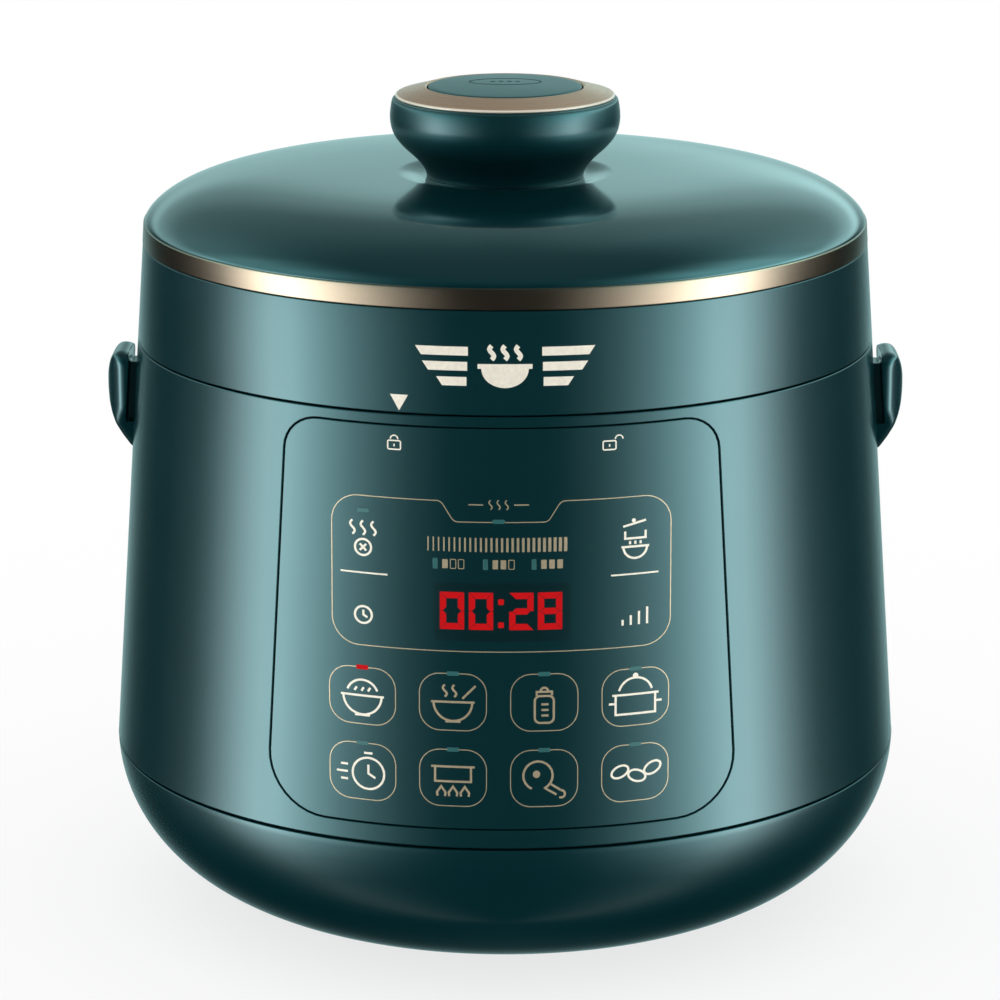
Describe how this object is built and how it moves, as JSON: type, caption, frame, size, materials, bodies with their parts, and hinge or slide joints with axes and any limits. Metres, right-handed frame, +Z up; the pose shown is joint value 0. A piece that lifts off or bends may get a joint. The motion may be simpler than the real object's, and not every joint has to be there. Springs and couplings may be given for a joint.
{
  "type": "electric pressure cooker",
  "caption": "Compact electric pressure cooker with a bayonet lid, vent button in the lid knob, lift-out pot, touch panel and side ears.",
  "frame": {"origin": "centre of the footprint, on the plane that the feet stand on", "axes": "+Z up, front and control panel towards -Y, +X to the right when seen from the front"},
  "size_m": [0.2348, 0.2324, 0.243],
  "materials": {
    "lacquer_teal": "deep teal lacquer, satin gloss",
    "trim_gold": "champagne anodised, fine brushed",
    "stainless": "brushed",
    "screw_steel": "zinc plated",
    "turned_alloy": "turned",
    "cast_alloy": "cast, turned face",
    "pot_coating": "non-stick coating",
    "black_plastic": "fine grain",
    "circuit_board": "solder mask",
    "silicone": "translucent silicone",
    "foot_rubber": "matte",
    "clear_plastic": "smoked clear",
    "wire_jacket": "satin jacket",
    "print_gold": "metallic pad print",
    "print_cream": "pad print",
    "led_red": "lit segment",
    "led_teal": "unlit indicator window"
  },
  "bodies": {
    "base": {"base_bowl": "lacquer_teal", "body_shell": "lacquer_teal", "control_panel": "lacquer_teal", "touch_board": "circuit_board", "display_module": "black_plastic", "top_ring": "black_plastic", "outer_pot": "stainless", "bayonet_ring": "stainless", "heating_plate": "cast_alloy", "heating_element": "stainless", "sensor_bracket": "stainless", "sensor_spring": "screw_steel", "pressure_switch": "black_plastic", "thermal_fuse": "silicone", "power_board": "circuit_board", "power_components": "black_plastic", "bottom_plate": "black_plastic", "chassis_screws": "screw_steel", "bottom_screws": "screw_steel", "rubber_feet": "foot_rubber", "inlet_housing": "black_plastic", "inlet_pins": "turned_alloy", "ear_left": "lacquer_teal", "ear_right": "lacquer_teal", "ear_screws": "screw_steel", "cup_bay": "black_plastic", "wiring": "wire_jacket", "lid_switch": "black_plastic"},
    "sensor": {"temperature_sensor": "turned_alloy"},
    "cup": {"condensate_cup": "clear_plastic"},
    "pot": {"inner_pot": "pot_coating"},
    "liner": {"liner_plate": "stainless", "sealing_ring": "silicone", "liner_grommet": "silicone"},
    "lid": {"dome_cover": "lacquer_teal", "trim_band": "trim_gold", "lid_skirt": "lacquer_teal", "lid_underside": "black_plastic", "inner_lid": "stainless", "knob_body": "lacquer_teal", "knob_ring": "trim_gold", "knob_screws": "screw_steel", "vent_pipe": "stainless", "debris_screen": "stainless", "steam_outlet": "lacquer_teal", "lever_bracket": "stainless", "lever_pin": "turned_alloy", "float_guide": "turned_alloy", "lid_screws": "screw_steel", "lid_magnet": "turned_alloy", "vent_spring": "screw_steel"},
    "button": {"vent_button": "lacquer_teal", "vent_rod": "turned_alloy"},
    "lever": {"vent_lever": "stainless"},
    "valve": {"limiting_valve": "turned_alloy"},
    "float": {"float_valve": "turned_alloy", "float_seal": "silicone"}
  },
  "joints": [
    {"name": "pot_lift", "type": "slide", "parent": "base", "child": "pot", "axis": [0, 0, 1], "range_m": [0, 0.13]},
    {"name": "lid_lift", "type": "slide", "parent": "pot", "child": "liner", "axis": [0, 0, 1], "range_m": [0, 0.12]},
    {"name": "lid_turn", "type": "hinge", "parent": "liner", "child": "lid", "pos_m": [0, 0, 0.16], "axis": [0, 0, 1], "range_deg": [0, 31]},
    {"name": "vent_press", "type": "slide", "parent": "lid", "child": "button", "axis": [0, 0, -1], "range_m": [0, 0.003], "stiffness_N_per_m": 700, "springref_m": -0.004, "deforming": ["vent_spring"]},
    {"name": "lever_tilt", "type": "hinge", "parent": "lid", "child": "lever", "pos_m": [0, 0.022, 0.196], "axis": [1, 0, 0], "range_deg": [0, 8.1]},
    {"name": "valve_lift", "type": "slide", "parent": "lid", "child": "valve", "axis": [0, 0, 1], "range_m": [0, 0.0033]},
    {"name": "float_rise", "type": "slide", "parent": "lid", "child": "float", "axis": [0, 0, 1], "range_m": [0, 0.004]},
    {"name": "sensor_press", "type": "slide", "parent": "base", "child": "sensor", "axis": [0, 0, -1], "range_m": [0, 0.003], "stiffness_N_per_m": 500, "springref_m": -0.004, "deforming": ["sensor_spring"]},
    {"name": "cup_pull", "type": "slide", "parent": "base", "child": "cup", "axis": [0, 1, 0], "range_m": [0, 0.03]}
  ],
  "couplings": [
    {"joint": "lever_tilt", "follows": "vent_press", "rad_per_m": 46.54},
    {"joint": "valve_lift", "follows": "vent_press", "ratio": 1.0667}
  ]
}
